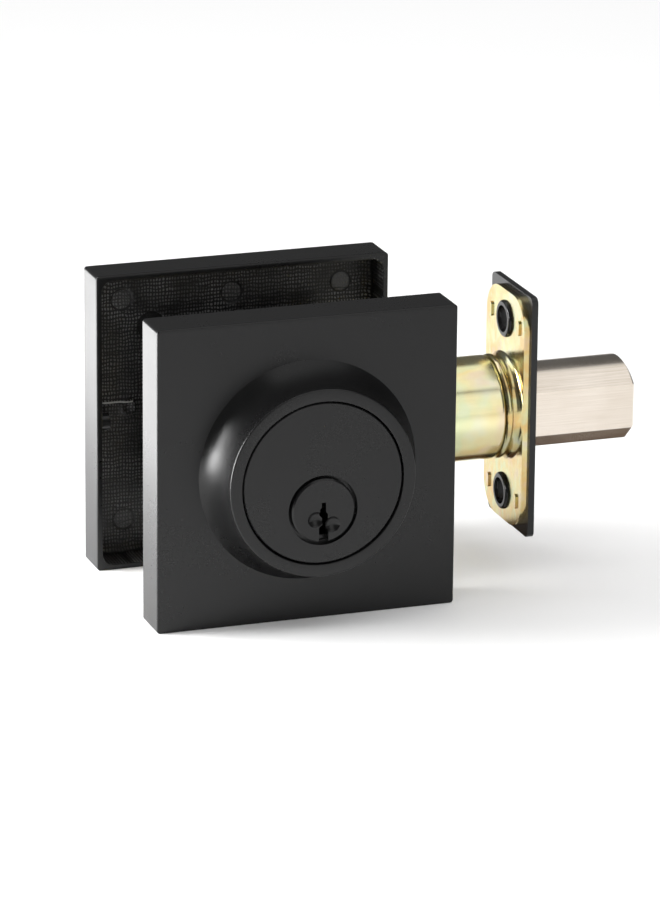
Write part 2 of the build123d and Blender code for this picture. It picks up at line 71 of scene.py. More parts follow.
# %% [markdown]
# ## Sizes that come from the frame
# A lock is a set of concentric things, so a few planes and axes place everything: the door sides of
# the two roses, their centre, the pivot that plug, crank and thumbturn share, and the latch's plate.
# They are read from the nodes' boxes and from the plug's joint, so they can't drift from the design.
# Only what a box doesn't tell is repeated here: the wall, the edges' rounding and the collar's height.

# %% Planes and axes
rose_low, rose_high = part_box("exterior_rose")
cover_low, cover_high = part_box("interior_rose")
face_low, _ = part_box("faceplate")

HALF = (rose_high.x - rose_low.x) / 2
ROSE_Z = (rose_high.z + rose_low.z) / 2
PIVOT_Z = next(j for j in frame["joints"] if j["name"] == "plug_turn")["pos_m"][2]
WALL = 1.3 * MM
EDGE = 0.35 * MM
COLLAR_HEIGHT = 10.7 * MM
COLLAR_FRONT = rose_low.y
ROSE_FRONT = COLLAR_FRONT + COLLAR_HEIGHT
print("rose half", round(HALF / MM, 2), "pivot", round(PIVOT_Z / MM, 2))

# %% [markdown]
# ## Shader maths as plain expressions
# A finish is a small sum: a base value, plus grain, plus wear. Building it from node calls hides that,
# so one class wraps a socket and overloads the operators. `0.3 + grain * 0.1` then adds its own Math
# nodes, and any other node comes from one method.

# %% A socket that does arithmetic
class Wire:
    """One output socket of a finish's tree."""

    def __init__(self, finish, socket):
        self.finish = finish
        self.socket = socket

    def _math(self, operation, first, second):
        return self.finish.node("Math", {"operation": operation}, {0: first, 1: second})

    def __add__(self, other):
        return self._math("ADD", self, other)

    def __sub__(self, other):
        return self._math("SUBTRACT", self, other)

    def __rsub__(self, other):
        return self._math("SUBTRACT", other, self)

    def __mul__(self, other):
        return self._math("MULTIPLY", self, other)

    __radd__ = __add__
    __rmul__ = __mul__


print("sockets can be added, subtracted and multiplied")

# %% [markdown]
# ## The finish that the sockets belong to
# Every finish here starts at the piece's own coordinates and ends in one Principled surface. The class
# keeps both ends, and its short methods name the few steps in between that come up again and again.

# %% A finish under construction
class Finish:
    """A material under construction, with a Principled surface at its end."""

    def __init__(self, name):
        self.material = bpy.data.materials.new(name)
        self.material.use_nodes = True
        self.tree = self.material.node_tree
        self.tree.nodes.clear()
        self.where = self.node("TexCoord", out="Object")

    def node(self, kind, settings=(), sockets=(), out=0):
        made = self.tree.nodes.new("ShaderNode" + kind)
        for name, value in dict(settings).items():
            setattr(made, name, value)
        for name, value in dict(sockets).items():
            if isinstance(value, Wire):
                self.tree.links.new(value.socket, made.inputs[name])
            else:
                made.inputs[name].default_value = value
        return Wire(self, made.outputs[out])

    def stretched(self, scale, turn=(0, 0, 0)):
        """The piece's own coordinates, turned and scaled along the axes."""
        sockets = {"Vector": self.where, "Scale": scale, "Rotation": turn}
        return self.node("Mapping", {}, sockets)

    def along(self, axis):
        """One of the piece's own coordinates: 0 is x, 1 is y, 2 is z."""
        return self.node("SeparateXYZ", {}, {0: self.where}, axis)

    def noise(self, scale, detail=3.0, rough=0.5, vector=None):
        sockets = {"Vector": vector or self.where, "Scale": scale, "Detail": detail, "Roughness": rough}
        return self.node("TexNoise", {}, sockets)

    def wave(self, vector, axis, scale, distortion, detail):
        """Sine bands that follow each other along an axis."""
        sockets = {"Vector": vector, "Scale": scale, "Distortion": distortion, "Detail": detail}
        return self.node("TexWave", {"bands_direction": axis}, sockets, 1)

    def distance(self, vector, point):
        return self.node("VectorMath", {"operation": "DISTANCE"}, {0: vector, 1: point}, 1)

    def near(self, value, centre, reach):
        """1 where value is within reach of centre, else 0."""
        return self.node("Math", {"operation": "COMPARE"}, {0: value, 1: centre, 2: reach})

    def below(self, value, limit):
        """1 where value is less than limit, else 0."""
        return self.node("Math", {"operation": "LESS_THAN"}, {0: value, 1: limit})

    def ramp(self, value, low, high):
        """0 at low, 1 at high, straight between and level beyond."""
        return self.node("MapRange", {"clamp": True}, {0: value, 1: low, 2: high})

    def blend(self, mask, first, second):
        """Colours first and second, mixed by mask."""
        return self.node("Mix", {"data_type": "RGBA"}, {0: mask, 6: first, 7: second}, 2)

    def bump(self, height, distance):
        return self.node("Bump", {}, {"Height": height, "Distance": distance, "Strength": 1.0})

    def done(self, **sockets):
        """Ends the tree in a surface with these sockets and returns the material."""
        named = {name.replace("_", " "): value for name, value in sockets.items()}
        surface = self.node("BsdfPrincipled", {}, named)
        output = self.tree.nodes.new("ShaderNodeOutputMaterial")
        self.tree.links.new(surface.socket, output.inputs["Surface"])
        return self.material


def rgb(r, g, b):
    return (r, g, b, 1.0)


def grey(value):
    return rgb(value, value, value)


print("finish steps:", [name for name in vars(Finish) if not name.startswith("_")])

# %% [markdown]
# ## Satin black
# The roses and the thumbturn are zinc castings, polished and powder coated. Powder flows as it cures,
# so up close the coat has a faint orange peel, and its sheen wanders a little. A flat grey with one
# roughness would look like plastic: the peel is a bump of a few microns, and two noises move the
# roughness, one broad, one fine.

# %% Black coats
def satin_black(name, base, rough, peel):
    """Powder or dipped coat: dark base, wandering sheen, orange peel."""
    coat = Finish(name)
    broad = coat.noise(45.0, 2.0)
    fine = coat.noise(1400.0, 2.0)
    tone = coat.ramp(broad, 0.35, 0.65)
    colour = coat.blend(tone, rgb(base * 0.85, base * 0.85, base * 0.88), rgb(base, base, base * 1.03))
    sheen = rough + (broad - 0.5) * 0.10 + (fine - 0.5) * 0.05
    skin = coat.bump(fine + coat.noise(520.0, 1.0) * 1.5, peel)
    return coat.done(Base_Color=colour, Roughness=sheen, Normal=skin, Specular_IOR_Level=0.33)


black_rose = satin_black("satin_black_coat", base=0.006, rough=0.29, peel=2.5e-6)
black_cylinder = satin_black("cylinder_black_coat", base=0.006, rough=0.27, peel=1.5e-6)
black_plate = satin_black("faceplate_black", base=0.012, rough=0.22, peel=3e-6)
print("black coats:", black_rose.name, black_cylinder.name, black_plate.name)

# %% [markdown]
# ## What the die leaves in a casting
# The cover's hollow side never meets a polishing wheel, so it shows how it was cast: the flat ends of
# the pins that pushed it out of the die, a round pocket, and a rib. Their places are needed twice, in
# the colour and in the shape of the floor, so they are named once, in mm from the rose's centre.

# %% Marks on the cover's floor
EJECTORS = [(-26.4, 26.6), (0.0, 26.2), (26.4, 26.6), (-26.0, -26.0), (26.0, -26.0)]
EJECTOR_R = 2.45
PROUD_EJECTOR = 2
POCKET = (-19.3, 19.9)
POCKET_R = 3.3
RIB_FOOT, RIB_TOP = -0.6, 2.5
print(len(EJECTORS), "ejector marks of radius", EJECTOR_R)

# %% [markdown]
# ## The raw inside of a casting
# Between the marks the metal keeps the die's texture: a fine crossed hatch from the tool's milling,
# blotches where the metal chilled, and a coat of black too thin to level them. A scanned texture would
# repeat and need a map of its own. Two wave textures at right angles give the hatch anywhere, and a
# noise breaks it up. A distance to each mark's centre paints shade into its ring groove and a painted
# sheen onto its face. Painted shade also fills the round pocket, and cracks and scratches darken the
# result. A painted highlight runs along the rib's upper edge.

# %% As-cast black
# Width in mm of the painted shade in each ejector mark's ring groove, then the weights of the painted sheen on the
# marks' faces
GROOVE_SHADE_WIDTH = 0.22
PIN_PAINTED_SHEEN = 0.28
PROUD_PAINTED_SHEEN = 0.75
# Where a painted highlight runs along the rib's upper edge, in mm
RIB_HIGHLIGHT_Z = RIB_TOP - 0.05
RIB_HIGHLIGHT_REACH = 0.16
RIB_HIGHLIGHT_END = -24.0


def on_floor(mark):
    """A mark's place in the frame, with y left out."""
    return (mark[0] * MM, 0.0, ROSE_Z + mark[1] * MM)


def rib_edge_highlight(raw):
    """1 along the rib's upper edge, where the painted highlight lies, else 0."""
    line = raw.near(raw.along(2), ROSE_Z + RIB_HIGHLIGHT_Z * MM, RIB_HIGHLIGHT_REACH * MM)
    return line * raw.below(raw.along(0), RIB_HIGHLIGHT_END * MM)


def ejector_shade_and_sheen(raw, flat):
    """Painted shade in each mark's ring groove, and the painted sheen that brightens each one's face."""
    painted_groove_shade = 0.0
    faces = 0.0
    for k, mark in enumerate(EJECTORS):
        away = raw.distance(flat, on_floor(mark))
        painted_groove_shade = raw.near(away, EJECTOR_R * MM, GROOVE_SHADE_WIDTH * MM) + painted_groove_shade
        # painted sheen on each mark's face, stronger on the proud one
        painted_sheen = PROUD_PAINTED_SHEEN if k == PROUD_EJECTOR else PIN_PAINTED_SHEEN
        faces = raw.below(away, EJECTOR_R * MM) * painted_sheen + faces
    return painted_groove_shade, faces


def cast_black():
    raw = Finish("as_cast_black")
    flat = raw.stretched((1.0, 0.0, 1.0))
    across = raw.wave(flat, "X", 430.0, 4.5, 2.0)
    along = raw.wave(flat, "Z", 360.0, 4.5, 2.0)
    cracks = raw.ramp(raw.wave(flat, "Z", 62.0, 3.0, 3.0), 0.985, 1.0)
    grit = raw.noise(2400.0, 3.0, 0.7)
    blotch = raw.ramp(raw.noise(120.0, 3.0, 0.6), 0.36, 0.64)
    scratch = raw.ramp(raw.noise(1.0, 2.0, 0.5, raw.stretched((70.0, 1.0, 1500.0))), 0.66, 0.70)
    weave = raw.ramp(across * along + (grit - 0.5) * 0.9, 0.22, 0.50)
    painted_groove_shade, faces = ejector_shade_and_sheen(raw, flat)
    # painted shade in the round pocket, a recess in the floor
    painted_pocket_shade = raw.below(raw.distance(flat, on_floor(POCKET)), POCKET_R * MM)
    ridge = raw.blend(blotch, grey(0.030), grey(0.130))
    cloth = raw.blend(weave, grey(0.001), ridge)
    # the painted sheen lightens the ejector marks' faces
    marked = raw.blend(faces, cloth, grey(0.085))
    # a painted highlight along the rib's upper edge
    with_rib_highlight = raw.blend(rib_edge_highlight(raw), marked, rgb(0.38, 0.38, 0.37))
    # Painted shade in the ring grooves and in the pocket, together with the cracks and scratches, darkens the
    # colour
    colour = raw.blend(painted_groove_shade + painted_pocket_shade + scratch * 0.8 + cracks * 0.8, with_rib_highlight, grey(0.0015))
    sheen = 0.30 + grit * 0.24 + blotch * 0.10
    skin = raw.bump(weave * 0.9 + grit * 0.8, 9.0e-5)
    return raw.done(Base_Color=colour, Roughness=sheen, Normal=skin)


cast_inside = cast_black()
print(cast_inside.name, "has", len(cast_inside.node_tree.nodes), "nodes")

# %% [markdown]
# ## Yellow zinc
# The latch is drawn steel with a chromate film over zinc. The film is thin enough to interfere with
# light, so its gold drifts to green, rose and pale silver over a few millimetres. The surface shader
# has a thin-film input, but a film that varies over the piece can't be baked to an image. Colour
# therefore comes from a chain of blends driven by slow noise, while fine lines along the drawing
# direction and faint scuffs move the roughness.

# %% Chromate over zinc
ALONG_X = (60.0, 3200.0, 3200.0)
ALONG_Y = (3200.0, 60.0, 3200.0)
ALONG_Z = (3200.0, 3200.0, 60.0)


def yellow_zinc(name, grain, rough=0.20, shade=1.0, cell=1.0, scuff=4.0e-6):
    """Shade below 1 is a deeper film, cell above 1 a finer mottle, scuff the lines' depth in m."""
    film = Finish(name)
    hues = {
        "amber": rgb(0.82 * shade, 0.66 * shade**1.5, 0.31 * shade**2),
        "straw": rgb(0.86 * shade, 0.80 * shade, 0.48 * shade**1.5),
        "green": rgb(0.72 * shade, 0.80 * shade, 0.50 * shade),
        "rose": rgb(0.80 * shade, 0.62 * shade, 0.50 * shade),
        "silver": rgb(0.76 * shade, 0.80 * shade, 0.74 * shade),
    }
    slow = film.noise(60.0 * cell, 3.0, 0.55)
    patch = film.noise(120.0 * cell, 2.0, 0.5, film.stretched((1.0, 1.6, 0.8), (0.4, 0.2, 0.9)))
    lines = film.noise(1.0, 3.0, 0.6, film.stretched(grain))
    gold = film.blend(film.ramp(slow, 0.40, 0.62), hues["amber"], hues["straw"])
    green = film.blend(film.ramp(patch, 0.50, 0.66) * 0.75, gold, hues["green"])
    rose = film.blend(film.ramp(patch, 0.46, 0.34) * 0.55, green, hues["rose"])
    silver = film.blend(film.ramp(slow, 0.60, 0.74) * 0.6, rose, hues["silver"])
    sheen = rough + (lines - 0.5) * 0.16 + (slow - 0.5) * 0.10
    skin = film.bump(lines, scuff)
    return film.done(Base_Color=silver, Metallic=1.0, Roughness=sheen, Normal=skin)


zinc_tube = yellow_zinc("yellow_zinc_tube", ALONG_X)
zinc_plate = yellow_zinc("yellow_zinc_plate", ALONG_Z, rough=0.18, shade=0.76, cell=2.4, scuff=1.6e-5)
zinc_frame = yellow_zinc("yellow_zinc_frame", ALONG_X, rough=0.26)
print("zinc:", zinc_tube.name, zinc_plate.name, zinc_frame.name)

# %% [markdown]
# ## Plain metals
# Bolt, pins, springs and screws are each one metal, turned, drawn or brushed along one axis. Their
# grain is a noise stretched far along that axis. It moves colour, roughness and a bump a few microns
# deep together, because a real brush line is all three at once.

# %% Brushed, turned and drawn metal
GRAIN_DEPTH = 3.0e-6


def brushed(name, dark, light, rough, grain):
    """Plain metal between two colours, with its grain along one axis."""
    metal = Finish(name)
    lines = metal.noise(1.0, 4.0, 0.65, metal.stretched(grain))
    cloud = metal.noise(90.0, 2.0)
    colour = metal.blend(metal.ramp(lines * 0.6 + cloud * 0.4, 0.35, 0.65), rgb(*dark), rgb(*light))
    sheen = rough + (lines - 0.5) * 0.14 + (cloud - 0.5) * 0.06
    skin = metal.bump(lines, GRAIN_DEPTH)
    return metal.done(Base_Color=colour, Metallic=1.0, Roughness=sheen, Normal=skin)


nickel = brushed("satin_nickel", (0.68, 0.60, 0.51), (0.84, 0.765, 0.68), 0.23, ALONG_X)
brass = brushed("turned_brass", (0.72, 0.50, 0.20), (0.82, 0.62, 0.30), 0.26, ALONG_Y)
steel = brushed("zinc_plated_steel", (0.52, 0.53, 0.55), (0.66, 0.67, 0.69), 0.30, ALONG_X)
spring_steel = brushed("spring_steel", (0.38, 0.38, 0.40), (0.50, 0.50, 0.52), 0.24, ALONG_Z)
hard_steel = brushed("hardened_steel", (0.20, 0.20, 0.22), (0.30, 0.30, 0.32), 0.22, ALONG_X)
nylon = satin_black("black_nylon", base=0.03, rough=0.50, peel=4e-6)
print("plain finishes:", nickel.name, brass.name, steel.name, spring_steel.name, hard_steel.name)

# %% [markdown]
# ## Rings of points
# A square rose with a round collar is awkward to model from a cube, and a boolean leaves long thin
# triangles that shade badly. It is simple as a stack of rings that all have the same number of
# points: square rings outside, round rings inside, and quads between them. Each ring is sampled along
# the same directions, so the quads run straight from the square's edge to the circle.

# %% Ring helpers
SIDE_POINTS = 49
CORNER_POINTS = 7
CORNER = 2 * EDGE
INNER_CORNER = 2.6 * MM


def rounded_square(half, corner):
    """Points round a square with rounded corners, spread evenly in angle along each side."""
    side = []
    for i in range(SIDE_POINTS):
        turn = radians(-45 + 90 * i / (SIDE_POINTS - 1))
        side.append((half, (half - corner) * tan(turn)))
    for i in range(1, CORNER_POINTS + 1):
        turn = radians(90 * i / (CORNER_POINTS + 1))
        side.append((half - corner + corner * cos(turn), half - corner + corner * sin(turn)))
    points = []
    for quarter in range(4):
        c, s = round(cos(quarter * pi / 2)), round(sin(quarter * pi / 2))
        points += [(x * c - y * s, x * s + y * c) for x, y in side]
    return points


def circle(radius, centre=(0.0, 0.0)):
    """A circle sampled in the directions of the rose's outline."""
    ring = []
    for x, y in rounded_square(HALF, CORNER):
        size = hypot(x, y)
        ring.append((centre[0] + radius * x / size, centre[1] + radius * y / size))
    return ring


def arc(centre, turn_from, turn_to, radius, steps):
    """Points of an arc, with the turns in degrees."""
    turns = [turn_from + (turn_to - turn_from) * i / steps for i in range(steps + 1)]
    return [(centre[0] + radius * cos(radians(t)), centre[1] + radius * sin(radians(t))) for t in turns]


def at_y(points, y):
    """A flat ring round the rose's centre, stood upright at y."""
    return [(x, y, ROSE_Z + v) for x, v in points]


def squares(profile, corner):
    """Square rings, one for each (half side, y) of the profile."""
    return [at_y(rounded_square(half, corner), y) for half, y in profile]


def circles(profile):
    """Round rings, one for each (radius, y) of the profile."""
    return [at_y(circle(radius), y) for radius, y in profile]


print(len(circle(HALF)), "points in a ring")

# %% [markdown]
# ## From rings to a piece
# Quads join each ring to the next, and the last ring to the first, so the casting is one closed skin.
# Doubles are merged before the normals are worked out, and edges steeper than a set angle stay sharp.

# %% Mesh helpers
SHARP = 32.0
WELD = 1e-7


def finish_mesh(name, vertices, faces, material, sharp=SHARP):
    """A mesh object at the origin, with outward faces and sharp edges marked by angle."""
    mesh = bpy.data.meshes.new(name)
    mesh.from_pydata(vertices, [], faces)
    work = bmesh.new()
    work.from_mesh(mesh)
    bmesh.ops.remove_doubles(work, verts=work.verts, dist=WELD)
    bmesh.ops.recalc_face_normals(work, faces=work.faces)
    work.to_mesh(mesh)
    work.free()
    mesh.shade_smooth()
    mesh.set_sharp_from_angle(angle=radians(sharp))
    made = bpy.data.objects.new(name, mesh)
    bpy.context.scene.collection.objects.link(made)
    mesh.materials.append(material)
    return made


def stack(name, rings, material):
    """Quads between neighbouring rings, and from the last ring to the first."""
    count = len(rings[0])
    vertices = [p for ring in rings for p in ring]
    faces = []
    for k in range(len(rings)):
        here, there = k * count, ((k + 1) % len(rings)) * count
        for i in range(count):
            j = (i + 1) % count
            faces.append((here + i, here + j, there + j, there + i))
    return finish_mesh(name, vertices, faces, material)


def keep_shape(piece, body, slot, *nodes):
    """Rides the piece on the body and hides the design's nodes in its place."""
    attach(piece, body)
    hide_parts(*nodes)
    print(piece.name, len(piece.data.polygons), "faces")


def apply_modifiers(piece):
    """Turns the evaluated result into the piece's plain mesh."""
    shape = piece.evaluated_get(bpy.context.evaluated_depsgraph_get())
    mesh = bpy.data.meshes.new_from_object(shape)
    piece.modifiers.clear()
    piece.data = mesh


print("edges above", SHARP, "degrees stay sharp")

# %% [markdown]
# ## The outside rose
# One casting: a square pan with a 0.35 mm edge, and a collar whose side is a cove, steep at the front
# ring and spreading out to the flat. The cove is a circular arc that leaves the front ring parallel to
# the axis, so a light at the left draws one soft highlight in it. A flat face beside a rounded edge
# needs a ring of its own a millimetre in, or the rounding's normals bleed over the flat.

# %% Outside rose
COLLAR_BASE = 25.4 * MM
COLLAR_TOP = 21.6 * MM
COLLAR_BORE = 18.8 * MM
COVE_STEPS = 18
HOLD = 1.0 * MM
LIP = EDGE * 0.6
ROSE_FILLET = 1.0 * MM
ROSE_FLOOR = ROSE_FRONT + WALL


def cove_profile():
    """(radius, y) from the flat up to the collar's front, on an arc that ends along the axis."""
    run = COLLAR_BASE - COLLAR_TOP
    rise = ROSE_FRONT - COLLAR_FRONT - EDGE
    cove = (run**2 + rise**2) / (2 * run)
    spread = acos(1 - run / cove)
    turns = [spread * k / COVE_STEPS for k in range(COVE_STEPS, -1, -1)]
    start = COLLAR_FRONT + EDGE
    return [(COLLAR_TOP + cove * (1 - cos(turn)), start + cove * sin(turn)) for turn in turns]


def outside_rose():
    outer = [(HALF, rose_high.y), (HALF, ROSE_FRONT + HOLD)]
    outer += [(HALF - inset, y) for inset, y in arc((EDGE, ROSE_FRONT + EDGE), 180, 270, EDGE, 4)]
    outer.append((HALF - HOLD, ROSE_FRONT))

    collar = [(COLLAR_BASE + HOLD / 2, ROSE_FRONT)] + cove_profile()
    rounding = arc((-EDGE, EDGE), 0, -90, EDGE, 4)[1:]
    collar += [(COLLAR_TOP + dr, COLLAR_FRONT + dy) for dr, dy in rounding]
    collar += [(COLLAR_BORE + dr, COLLAR_FRONT + dy) for dr, dy in arc((LIP, LIP), 270, 180, LIP, 3)]
    collar.append((COLLAR_BORE, ROSE_FLOOR))

    inside = HALF - WALL
    fillet = arc((-ROSE_FILLET, ROSE_FILLET), 270, 360, ROSE_FILLET, 5)
    inner = [(inside - ROSE_FILLET - HOLD, ROSE_FLOOR)]
    inner += [(inside + du, ROSE_FLOOR + dy) for du, dy in fillet]
    inner.append((inside, rose_high.y))

    rings = squares(outer, CORNER) + circles(collar) + squares(inner, INNER_CORNER)
    return stack("outside_rose_casting", rings, black_rose)


keep_shape(outside_rose(), "lock_frame", "satin_black", "exterior_rose")

# %% [markdown]
# ## The cover's shell
# The inside cover is the same pan without a collar, seen from its hollow side. It could carry the die's
# marks in one mesh, but then the whole pan would need a fine grid. So the shell is a stack of rings with
# a plain bed, and the marked floor is a separate sheet that lies on it. Only the hollow side shows the
# raw casting.

# %% Cover shell
COVER_FLOOR = cover_high.y - WALL
FLOOR_FILLET = 2.4 * MM
BED = COVER_FLOOR + 0.4 * MM
BED_CORNER = 2.0 * MM
BED_GAP = 0.1 * MM
BUSH_R = 6.0 * MM
RIM = 0.15 * MM


def cover_shell():
    rim = arc((-RIM, RIM), 270, 360, RIM, 2)
    outer = [(HALF + du, cover_low.y + dy) for du, dy in rim]
    outer += [(HALF, cover_low.y + HOLD), (HALF, cover_high.y - HOLD)]
    rounding = arc((EDGE, -EDGE), 180, 90, EDGE, 4)
    outer += [(HALF - inset, cover_high.y + dy) for inset, dy in rounding]
    outer.append((HALF - HOLD, cover_high.y))

    bush = circle(BUSH_R, (0.0, PIVOT_Z - ROSE_Z))
    bore = [at_y(bush, cover_high.y), at_y(bush, BED)]

    inside = HALF - WALL
    bed = [(inside - FLOOR_FILLET - BED_GAP, BED)]
    fillet = arc((-FLOOR_FILLET, -FLOOR_FILLET), 90, 0, FLOOR_FILLET, 8)
    inner = [(inside + du, COVER_FLOOR + dy) for du, dy in fillet]
    inner += [(inside + du, cover_low.y + dy) for du, dy in arc((RIM, RIM), 180, 270, RIM, 2)]

    rings = squares(outer, CORNER) + bore + squares(bed, BED_CORNER) + squares(inner, INNER_CORNER)
    shell = stack("inside_cover_casting", rings, black_rose)
    shell.data.materials.append(cast_inside)
    for face in shell.data.polygons:
        reach = max(abs(face.center.x), abs(face.center.z - ROSE_Z))
        if reach < inside + RIM / 4 and face.center.y < BED + RIM:
            face.material_index = 1
    return shell


keep_shape(cover_shell(), "lock_frame", "satin_black", "interior_rose")

# %% [markdown]
# ## The cover's floor
# Ejector marks, a rib with a dimpled boss, and a pocket stand a few tenths of a millimetre out of the
# floor or into it. Sculpting them would be slow to change. Each is a formula of the distance to its
# centre, so together they are one height field on a fine grid, and a thickness modifier closes it.

# %% Height of the floor
EJECTOR_RISE = -0.28
PROUD_RISE = 0.22
GROOVE = 0.35
GROOVE_DEPTH = 0.25
POCKET_DEPTH = 0.75
BOSS = (-25.0, 1.0)
BOSS_R = 2.0
BOSS_RISE = 0.95
DIMPLE_R = 0.9
DIMPLE_DEPTH = 0.35
RIB_END = -17.0
RIB_RISE = 0.55


def step_down(distance, edge, width):
    """1 inside the edge, 0 outside, with a ramp of that width."""
    return min(1.0, max(0.0, (edge - distance) / width + 0.5))


def floor_height(x, z):
    """Height above the floor in mm, towards the door, at x and z from the rose's centre."""
    wave = noise.noise(Vector((x * 0.22, z * 0.22, 1.7)))
    grain = noise.noise(Vector((x * 1.3, z * 1.3, 5.1)))
    height = 0.05 * wave + 0.035 * grain
    for k, (mark_x, mark_z) in enumerate(EJECTORS):
        away = hypot(x - mark_x, z - mark_z)
        rise = PROUD_RISE if k == PROUD_EJECTOR else EJECTOR_RISE
        height += rise * step_down(away, EJECTOR_R, GROOVE)
        height -= GROOVE_DEPTH * max(0.0, 1 - abs(away - EJECTOR_R) / GROOVE)
    height -= POCKET_DEPTH * step_down(hypot(x - POCKET[0], z - POCKET[1]), POCKET_R, 0.45)
    from_boss = hypot(x - BOSS[0], z - BOSS[1])
    boss = step_down(from_boss, BOSS_R, 0.6)
    side = min(z - RIB_FOOT, RIB_TOP - z)
    rib = step_down(-side, 0.0, 0.5) if x < RIB_END else 0.0
    height += RIB_RISE * rib * (1 - boss) + BOSS_RISE * boss
    return height - DIMPLE_DEPTH * step_down(from_boss, DIMPLE_R, 0.5)


print("floor height at the boss, mm:", round(floor_height(*BOSS), 2))

# %% Cover floor
CELLS = 210
SHEET = 0.3 * MM
FLOOR_SHARP = 60.0
BUSH_GAP = 0.5


def floor_grid():
    """Corners and quads of the sheet, level along its edge and open round the thumbturn's bush."""
    half = (HALF - WALL - FLOOR_FILLET + BED_GAP) / MM
    pitch = 2 * half / CELLS
    vertices = []
    for row in range(CELLS + 1):
        for column in range(CELLS + 1):
            x, z = -half + column * pitch, -half + row * pitch
            level = step_down(max(abs(x), abs(z)), half - 0.4, 0.5)
            y = COVER_FLOOR - level * floor_height(x, z) * MM
            vertices.append((x * MM, y, ROSE_Z + z * MM))
    faces = []
    wide = CELLS + 1
    for row in range(CELLS):
        for column in range(CELLS):
            x = -half + (column + 0.5) * pitch
            z = -half + (row + 0.5) * pitch
            if hypot(x, z - (PIVOT_Z - ROSE_Z) / MM) > BUSH_R / MM + BUSH_GAP:
                at = row * wide + column
                faces.append((at, at + 1, at + wide + 1, at + wide))
    return vertices, faces


def cover_floor():
    vertices, faces = floor_grid()
    floor = finish_mesh("inside_cover_floor", vertices, faces, cast_inside, FLOOR_SHARP)
    thick = floor.modifiers.new("thickness", "SOLIDIFY")
    thick.thickness = SHEET
    thick.offset = 1.0 if floor.data.polygons[0].normal.y > 0 else -1.0
    apply_modifiers(floor)
    return floor


floor_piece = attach(cover_floor(), "lock_frame")
print("floor grid", len(floor_piece.data.polygons), "faces")

# %% [markdown]
# ## Rolled rims round the screw holes
# The faceplate's screw holes are drawn through the plated plate behind it, and the press rolls their
# ends over into a glossy bead. Both beads are one curve swept round another, so a geometry-node tree
# makes one ring and instances it on a two-point line. The tree's inputs are the sizes a press tool
# would be ordered by. A torus for each hole would do as well, but would not follow a changed spacing.

# %% A tree with named inputs
def node_tree(name, inputs):
    """An empty tree with named inputs of the given socket types, and its two end nodes."""
    tree = bpy.data.node_groups.new(name, "GeometryNodeTree")
    tree.interface.new_socket("Geometry", in_out="OUTPUT", socket_type="NodeSocketGeometry")
    names = {}
    for label, kind in inputs.items():
        made = tree.interface.new_socket(label, in_out="INPUT", socket_type=kind)
        names[label] = made.identifier
    return tree, names, tree.nodes.new("NodeGroupInput"), tree.nodes.new("NodeGroupOutput")


RIM_INPUTS = {
    "Spacing": "NodeSocketFloat",
    "Rim Radius": "NodeSocketFloat",
    "Bead Radius": "NodeSocketFloat",
    "Plane": "NodeSocketFloat",
    "Material": "NodeSocketMaterial",
}
print("rim inputs:", list(RIM_INPUTS))

# %% The rims' tree
RIM_POINTS = 96
BEAD_POINTS = 24


def rim_tree():
    """One bead swept round a circle, set on both ends of an upright line."""
    tree, names, given, result = node_tree("screw_rims", RIM_INPUTS)
    add, link = tree.nodes.new, tree.links.new
    rim = add("GeometryNodeCurvePrimitiveCircle")
    rim.inputs["Resolution"].default_value = RIM_POINTS
    bead = add("GeometryNodeCurvePrimitiveCircle")
    bead.inputs["Resolution"].default_value = BEAD_POINTS
    sweep = add("GeometryNodeCurveToMesh")
    line = add("GeometryNodeMeshLine")
    line.mode = "END_POINTS"
    line.inputs["Count"].default_value = 2
    for share, socket in ((-0.5, "Start Location"), (0.5, "Offset")):
        level = add("ShaderNodeMath")
        level.operation = "MULTIPLY"
        level.inputs[1].default_value = share
        end = add("ShaderNodeCombineXYZ")
        link(given.outputs["Spacing"], level.inputs[0])
        link(given.outputs["Plane"], end.inputs["X"])
        link(level.outputs[0], end.inputs["Z"])
        link(end.outputs[0], line.inputs[socket])
    place = add("GeometryNodeInstanceOnPoints")
    place.inputs["Rotation"].default_value = (0.0, pi / 2, 0.0)
    real = add("GeometryNodeRealizeInstances")
    paint = add("GeometryNodeSetMaterial")
    link(given.outputs["Rim Radius"], rim.inputs["Radius"])
    link(given.outputs["Bead Radius"], bead.inputs["Radius"])
    link(rim.outputs["Curve"], sweep.inputs["Curve"])
    link(bead.outputs["Curve"], sweep.inputs["Profile Curve"])
    link(line.outputs["Mesh"], place.inputs["Points"])
    link(sweep.outputs["Mesh"], place.inputs["Instance"])
    link(place.outputs["Instances"], real.inputs["Geometry"])
    link(real.outputs["Geometry"], paint.inputs["Geometry"])
    link(given.outputs["Material"], paint.inputs["Material"])
    link(paint.outputs["Geometry"], result.inputs[0])
    return tree, names


rims, rim_names = rim_tree()
print(rims.name, "has", len(rims.nodes), "nodes")

# %% Grow the rims and bake them
SCREW_SPACING = 41.3 * MM
RIM_OUT = 4.33 * MM
BEAD = 0.65 * MM


def grown(name, tree, names, values):
    """A new piece made by the tree alone, baked to a plain mesh."""
    piece = bpy.data.objects.new(name, bpy.data.meshes.new(name))
    bpy.context.scene.collection.objects.link(piece)
    maker = piece.modifiers.new("grow", "NODES")
    maker.node_group = tree
    for label, value in values.items():
        maker[names[label]] = value
    apply_modifiers(piece)
    piece.data.shade_smooth()
    print(name, len(piece.data.polygons), "faces")
    return piece


rim_values = {
    "Spacing": SCREW_SPACING,
    "Rim Radius": RIM_OUT - BEAD,
    "Bead Radius": BEAD,
    "Plane": face_low.x + BEAD,
    "Material": satin_black("rolled_rim_black", base=0.004, rough=0.10, peel=1e-6),
}
screw_rims = grown("screw_rims", rims, rim_names, rim_values)
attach(screw_rims, "lock_frame")

